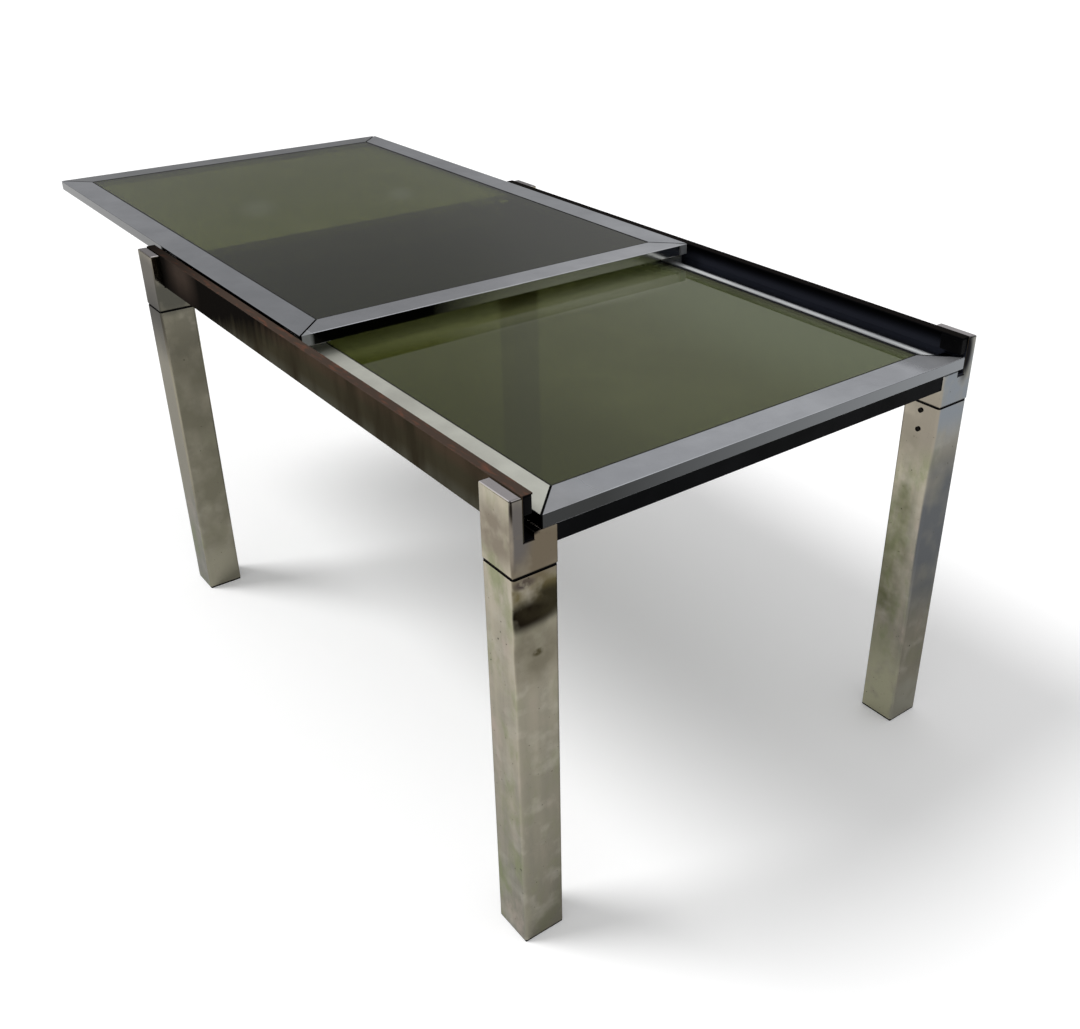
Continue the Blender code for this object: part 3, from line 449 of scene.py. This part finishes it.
# The dull blacks and the pale nylon, mottled where they are rubbed, so that no face is a flat colour. Their grain is
# drawn several times as coarse as it is, to show at all.
grainedFinishes = {
    "blackPaint": {"colour": "#050607", "rubbed": "#0b0c0e", "grainMm": 1.5, "patchMm": 60, "depth": 0.00006,
                   "roughness": 0.42, "specular": 0.02, "metallic": 0.0},  # stoved on steel tube: a soft sheen
    "blackRubber": {"colour": "#0f0f0f", "rubbed": "#1c1c1b", "grainMm": 0.9, "patchMm": 30, "depth": 0.00005,
                    "roughness": 0.62, "specular": 0.3, "metallic": 0.0},  # extruded strip: matt, greyish
    "mouldedPlastic": {"colour": "#050506", "rubbed": "#0b0b0c", "grainMm": 1.2, "patchMm": 25, "depth": 0.00006,
                       "roughness": 0.50, "specular": 0.03, "metallic": 0.0},  # polyethylene plugs: dead black
    "greyNylon": {"colour": "#bfc1bf", "rubbed": "#a4a6a2", "grainMm": 1.4, "patchMm": 18, "depth": 0.00004,
                  "roughness": 0.45, "specular": 0.5, "metallic": 0.0},  # moulded glides: pale, slightly waxy
    "blackedSteel": {"colour": "#141312", "rubbed": "#211e1b", "grainMm": 0.8, "patchMm": 4, "depth": 0.00003,
                     "roughness": 0.35, "specular": 0.5, "metallic": 1.0},  # oiled screw heads: brown in the light
}
grain = {"rubbedFrom": (0.42, 0.72), "shineFrom": (0.3, 0.7), "shineSpread": 0.06}


def makeGrained(name, look, spread):
    material, tree, shader, coords = newMaterial(name)
    place = coords.outputs["Object"]
    patches = addNode(tree, "ShaderNodeTexNoise", {"Vector": place, "Scale": 1000 / look["patchMm"], "Detail": 4.0})
    mask = addNode(tree, "ShaderNodeMapRange", {"Value": patches, fromRange: spread["rubbedFrom"]})
    skin = addNode(tree, "ShaderNodeMix", {mixFactor: mask, mixUnder: linear(look["colour"]),
                                           mixOver: linear(look["rubbed"])}, data_type="RGBA")
    mattest, shiniest = look["roughness"] + spread["shineSpread"], look["roughness"] - spread["shineSpread"]
    shine = addNode(tree, "ShaderNodeMapRange", {"Value": patches, fromRange: spread["shineFrom"],
                                                 toRange: (mattest, shiniest)})
    grainNoise = addNode(tree, "ShaderNodeTexNoise", {"Vector": place, "Scale": 1000 / look["grainMm"], "Detail": 2.0})
    bump = addNode(tree, "ShaderNodeBump", {"Height": grainNoise, "Strength": 1.0, "Distance": look["depth"]})
    setInputs(tree, shader, {"Base Color": skin, "Roughness": shine, "Normal": bump,
                             "Specular IOR Level": look["specular"], "Metallic": look["metallic"]})
    return material


materials = {name: makeGrained(name, look, grain) for name, look in grainedFinishes.items()}
materials["agedChrome"] = makeAgedChrome(agedChrome, chromeLayers, chromeMarks)
for name, (leaf, along, look) in bars.items():
    materials[name] = makePolishedBar(name, leaf, along, look, barWear.get(name))
for leaf, film in glassFilms.items():
    materials[f"{leaf}Glass"] = makeSmokedGlass(f"{leaf}Glass", smokedGlass, film, glassMarksAndPaintedReflection[leaf])
materials["bronzeLacquer"] = makeBronzeLacquer(bronzeLacquer)
print("materials made:", len(materials))

# Which finish each CAD piece takes, by the start of its name: the first that fits
finishes = {
    "leg_screw": "blackedSteel", "leg_": "agedChrome", "cap_": "agedChrome", "foot_": "mouldedPlastic",
    "spigot_": "mouldedPlastic", "end_stop_": "mouldedPlastic", "rail_": "bronzeLacquer", "apron_": "blackPaint",
    "lower_bar_front": "lowerFrontBar", "lower_bar_rear": "lowerRearBar", "lower_bar_": "lowerEndBar",
    "upper_bar_front": "upperLongBar", "upper_bar_rear": "upperLongBar", "upper_bar_left": "upperFarBar",
    "upper_bar_right": "upperEndBar", "lower_key": "mouldedPlastic", "upper_key": "mouldedPlastic",
    "lower_gasket": "blackRubber", "upper_gasket": "blackRubber", "lower_glass": "lowerGlass",
    "upper_glass": "upperGlass", "runner_": "lowerFrontBar", "glide_": "greyNylon",
}
for name, node in nodes.items():
    finish = next(finishes[start] for start in finishes if name.startswith(start))
    node.data.materials.clear()
    node.data.materials.append(materials[finish])
print("finishes given to the CAD pieces")


def addPiece(name, points, faces, material, body, smooth=True):
    mesh = bpy.data.meshes.new(name)
    mesh.from_pydata(points.reshape(-1, 3).tolist(), [], faces.reshape(-1, 4).tolist())
    mesh.polygons.foreach_set("use_smooth", np.full(len(mesh.polygons), smooth))
    mesh.materials.append(material)
    mesh.update()
    piece = bpy.data.objects.new(name, mesh)
    bpy.context.scene.collection.objects.link(piece)
    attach(piece, body)
    return piece


def gridFaces(rows, columns, closeRows=False, closeColumns=False):  # quads between neighbours of a grid of points
    r = np.arange(rows if closeRows else rows - 1)[:, None]
    c = np.arange(columns if closeColumns else columns - 1)[None, :]
    r2, c2 = (r + 1) % rows, (c + 1) % columns
    return np.stack([r * columns + c, r * columns + c2, r2 * columns + c2, r2 * columns + c], axis=-1)


# Rubber bead pressed in between glass and frame: a low half-round all the way round, in metres
glassBead = {"width": 0.0026, "height": 0.0005, "steps": 9, "sink": 0.0012, "footShare": 0.6, "tuck": 0.0002}


def addGlassBead(leaf, body, look):
    # Closed profile: across = w/2 cos t, up = h sin t over the top, and a narrower flat underside, sunk between glass
    # and frame. Each profile point runs round a rectangle that is as far outside the bead's middle line as the point.
    low, high = (np.array(corner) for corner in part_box(f"{leaf}_glass"))
    gasketLow, gasketHigh = (np.array(corner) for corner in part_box(f"{leaf}_gasket"))
    middle = (low + high) / 2
    halfWidth = look["width"] / 2
    halfOpening = ((gasketHigh - gasketLow) / 2)[:2] - halfWidth + look["tuck"]
    t = np.linspace(0, math.pi, look["steps"])
    across = np.concatenate([halfWidth * np.cos(t), halfWidth * look["footShare"] * np.array([-1.0, 1.0])])
    up = np.concatenate([look["height"] * np.sin(t), -look["sink"] * np.ones(2)])
    corners = np.array([(1, 1), (-1, 1), (-1, -1), (1, -1)])
    points = np.empty((len(across), 4, 3))
    points[..., :2] = middle[:2] + corners * (halfOpening + across[:, None, None])
    points[..., 2] = (high[2] + up)[:, None]
    faces = gridFaces(len(across), 4, closeRows=True, closeColumns=True)
    return addPiece(f"{leaf}GlassBead", points, faces, materials["blackRubber"], body)


addGlassBead("lower", "base", glassBead)
addGlassBead("upper", "upper_leaf", glassBead)
print("glass beads laid")

# Button screws that hold the runner plates to the leaf's bars, heads down, in metres: two to a plate, so far in from
# its lip and on its underside
runnerScrew = {"headRadius": 0.0042, "headHeight": 0.0022, "rimShare": 0.35, "domeSteps": 6, "socketWidth": 0.0026,
               "socketDepth": 0.0013, "socketFlare": 1.05, "floorShare": 0.02, "sides": 24, "spacing": 0.022,
               "inset": 0.046, "plate": 0.003}


def addRunnerScrews(look):
    # Rings of a turned head: a dome from its rim to the socket's edge, then the socket's wall and floor.
    # The socket is a hexagon, r = a / cos(angle from the nearest flat), and the rim is a circle.
    turn = np.linspace(0, 2 * math.pi, look["sides"], endpoint=False)
    hexagon = look["socketWidth"] / 2 / np.cos((turn + math.pi / 6) % (math.pi / 3) - math.pi / 6)
    circle = np.full_like(turn, look["headRadius"])
    dome = np.linspace(0, 1, look["domeSteps"])[:, None]
    rim, top = look["rimShare"] * look["headHeight"], look["headHeight"]
    rings = np.concatenate([circle[None], circle + dome * (hexagon * look["socketFlare"] - circle), hexagon[None],
                            hexagon[None] * look["floorShare"]])
    height = np.concatenate([[0.0], rim + (top - rim) * np.sqrt(1 - (1 - dome[:, 0]) ** 2),
                             [top - look["socketDepth"]] * 2])
    shape = np.stack([rings * np.cos(turn), rings * np.sin(turn), -np.broadcast_to(height[:, None], rings.shape)], -1)
    seats = []
    for side in ("front", "rear"):
        for place in ("inner", "middle"):
            low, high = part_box(f"runner_{side}_{place}")
            lip, inward = (high[1], -1) if side == "rear" else (low[1], 1)
            middle = (low[0] + high[0]) / 2
            seats += [(middle + step, lip + inward * look["inset"], high[2] - look["plate"])
                      for step in (-look["spacing"] / 2, look["spacing"] / 2)]
    points = np.array(seats)[:, None, None, :] + shape
    faces = gridFaces(len(rings), look["sides"], closeColumns=True)[..., ::-1]
    faces = faces.reshape(1, -1, 4) + (np.arange(len(seats)) * rings.size)[:, None, None]
    return addPiece("runnerScrews", points, faces, materials["blackedSteel"], "upper_leaf", False)


addRunnerScrews(runnerScrew)
print("runner screws set")

# Floor, light and camera. The sky goes by the sine of the height above the horizon.
studio = {
    "floorHalf": 60.0, "floorColour": "#f0f0f0", "floorRoughness": 0.9, "floorGlow": 0.20, "backdrop": "#ffffff",
    "sky": ((0.0, "#868687"), (0.20, "#8f8f90"), (0.24, "#959596"), (0.50, "#979798"), (0.70, "#d4d4d5"),
            (1.0, "#f0f0f0")),
    "panels": ({"azimuthDeg": 128, "elevationDeg": 22, "reachDeg": 20, "gain": 0.38},
               {"azimuthDeg": 156, "elevationDeg": 20, "reachDeg": 11, "gain": -0.20}),
    "sunStrength": 2.0, "sunAngleDeg": 24, "towardSun": (-0.39, -0.46, 0.80),
}
photoCamera = {
    "place": (1.6583, -1.1167, 1.4273), "azimuthDeg": 52.33, "elevationDeg": 28.84, "clipEnd": 200.0,
    "focalPx": 1166.4, "imagePx": (1080, 1029), "axisPx": (588.6, 497.8), "sensorMm": 36.0,
}


def addFloor(look):
    half = look["floorHalf"]
    mesh = bpy.data.meshes.new("floor")
    mesh.from_pydata([(-half, -half, 0.0), (half, -half, 0.0), (half, half, 0.0), (-half, half, 0.0)], [],
                     [(0, 1, 2, 3)])
    material, tree, shader, _ = newMaterial("paleFloor")
    # What is seen, mirrored or seen through glass is a little whiter than what lights the table
    path = addNode(tree, "ShaderNodeLightPath")
    seen = path.outputs["Is Camera Ray"]
    for ray in ("Is Glossy Ray", "Is Transmission Ray"):
        seen = addNode(tree, "ShaderNodeMath", {0: seen, 1: path.outputs[ray]}, operation="MAXIMUM")
    glow = addNode(tree, "ShaderNodeMath", {0: seen, 1: look["floorGlow"]}, operation="MULTIPLY")
    setInputs(tree, shader, {"Base Color": linear(look["floorColour"]), "Roughness": look["floorRoughness"],
                             "Specular IOR Level": 0.0, "Emission Color": linear("#ffffff"),
                             "Emission Strength": glow})
    mesh.materials.append(material)
    floor = bpy.data.objects.new("floor", mesh)
    bpy.context.scene.collection.objects.link(floor)


def addSky(look):
    world = bpy.data.worlds.new("studio")
    bpy.context.scene.world = world
    world.use_nodes = True
    tree = world.node_tree
    direction = addNode(tree, "ShaderNodeTexCoord").outputs["Generated"]
    up = addNode(tree, "ShaderNodeSeparateXYZ", {"Vector": direction}).outputs["Z"]
    sky = addNode(tree, "ShaderNodeValToRGB", {"Fac": up})
    stops = sky.color_ramp.elements
    while len(stops) < len(look["sky"]):
        stops.new(1.0)
    for stop, (position, colour) in zip(stops, look["sky"]):
        stop.position = position
        stop.color = linear(colour)
    for panel in look["panels"]:
        # A soft round patch of sky that is brighter or dimmer by its gain at the middle
        turn, rise, reach = (math.radians(panel[key]) for key in ("azimuthDeg", "elevationDeg", "reachDeg"))
        toward = (math.cos(turn) * math.cos(rise), math.sin(turn) * math.cos(rise), math.sin(rise))
        near = addNode(tree, "ShaderNodeVectorMath", {0: direction, 1: toward}, operation="DOT_PRODUCT")
        level = addNode(tree, "ShaderNodeMapRange", {"Value": near, fromRange: (math.cos(reach), 1.0),
                                                     toRange: (1.0, 1.0 + panel["gain"])},
                        interpolation_type="SMOOTHSTEP")
        sky = addNode(tree, "ShaderNodeVectorMath", {0: sky, 1: level}, operation="MULTIPLY")
    path = addNode(tree, "ShaderNodeLightPath")
    seen = addNode(tree, "ShaderNodeMix", {mixFactor: path.outputs["Is Camera Ray"], mixUnder: sky,
                                           mixOver: linear(look["backdrop"])}, data_type="RGBA")
    setInputs(tree, tree.nodes["Background"], {"Color": seen})


def addSun(look):
    lamp = bpy.data.lights.new("softSun", "SUN")
    lamp.energy = look["sunStrength"]
    lamp.angle = math.radians(look["sunAngleDeg"])
    sun = bpy.data.objects.new("softSun", lamp)
    sun.visible_glossy = False  # lights and casts the shadow, but is not mirrored as a hard disc in the glass
    sun.visible_transmission = False
    x, y, z = look["towardSun"]
    sun.rotation_euler = (math.acos(z / math.hypot(x, y, z)), 0, math.atan2(y, x) + math.pi / 2)
    bpy.context.scene.collection.objects.link(sun)


def addCamera(view):
    lens = bpy.data.cameras.new("photoCamera")
    width, height = view["imagePx"]
    lens.sensor_width = view["sensorMm"]
    lens.sensor_fit = "HORIZONTAL"
    lens.lens = view["focalPx"] * view["sensorMm"] / width
    lens.shift_x = (width / 2 - view["axisPx"][0]) / width
    lens.shift_y = (view["axisPx"][1] - height / 2) / width
    lens.clip_end = view["clipEnd"]
    camera = bpy.data.objects.new("photoCamera", lens)
    camera.location = (view["place"][0] + baseX, view["place"][1], view["place"][2])
    camera.rotation_euler = (math.radians(90 - view["elevationDeg"]), 0, math.radians(view["azimuthDeg"]))
    bpy.context.scene.collection.objects.link(camera)
    bpy.context.scene.camera = camera


addFloor(studio)
addSky(studio)
addSun(studio)
addCamera(photoCamera)
bpy.context.scene.view_settings.view_transform = "Standard"
print("floor, light and camera placed")
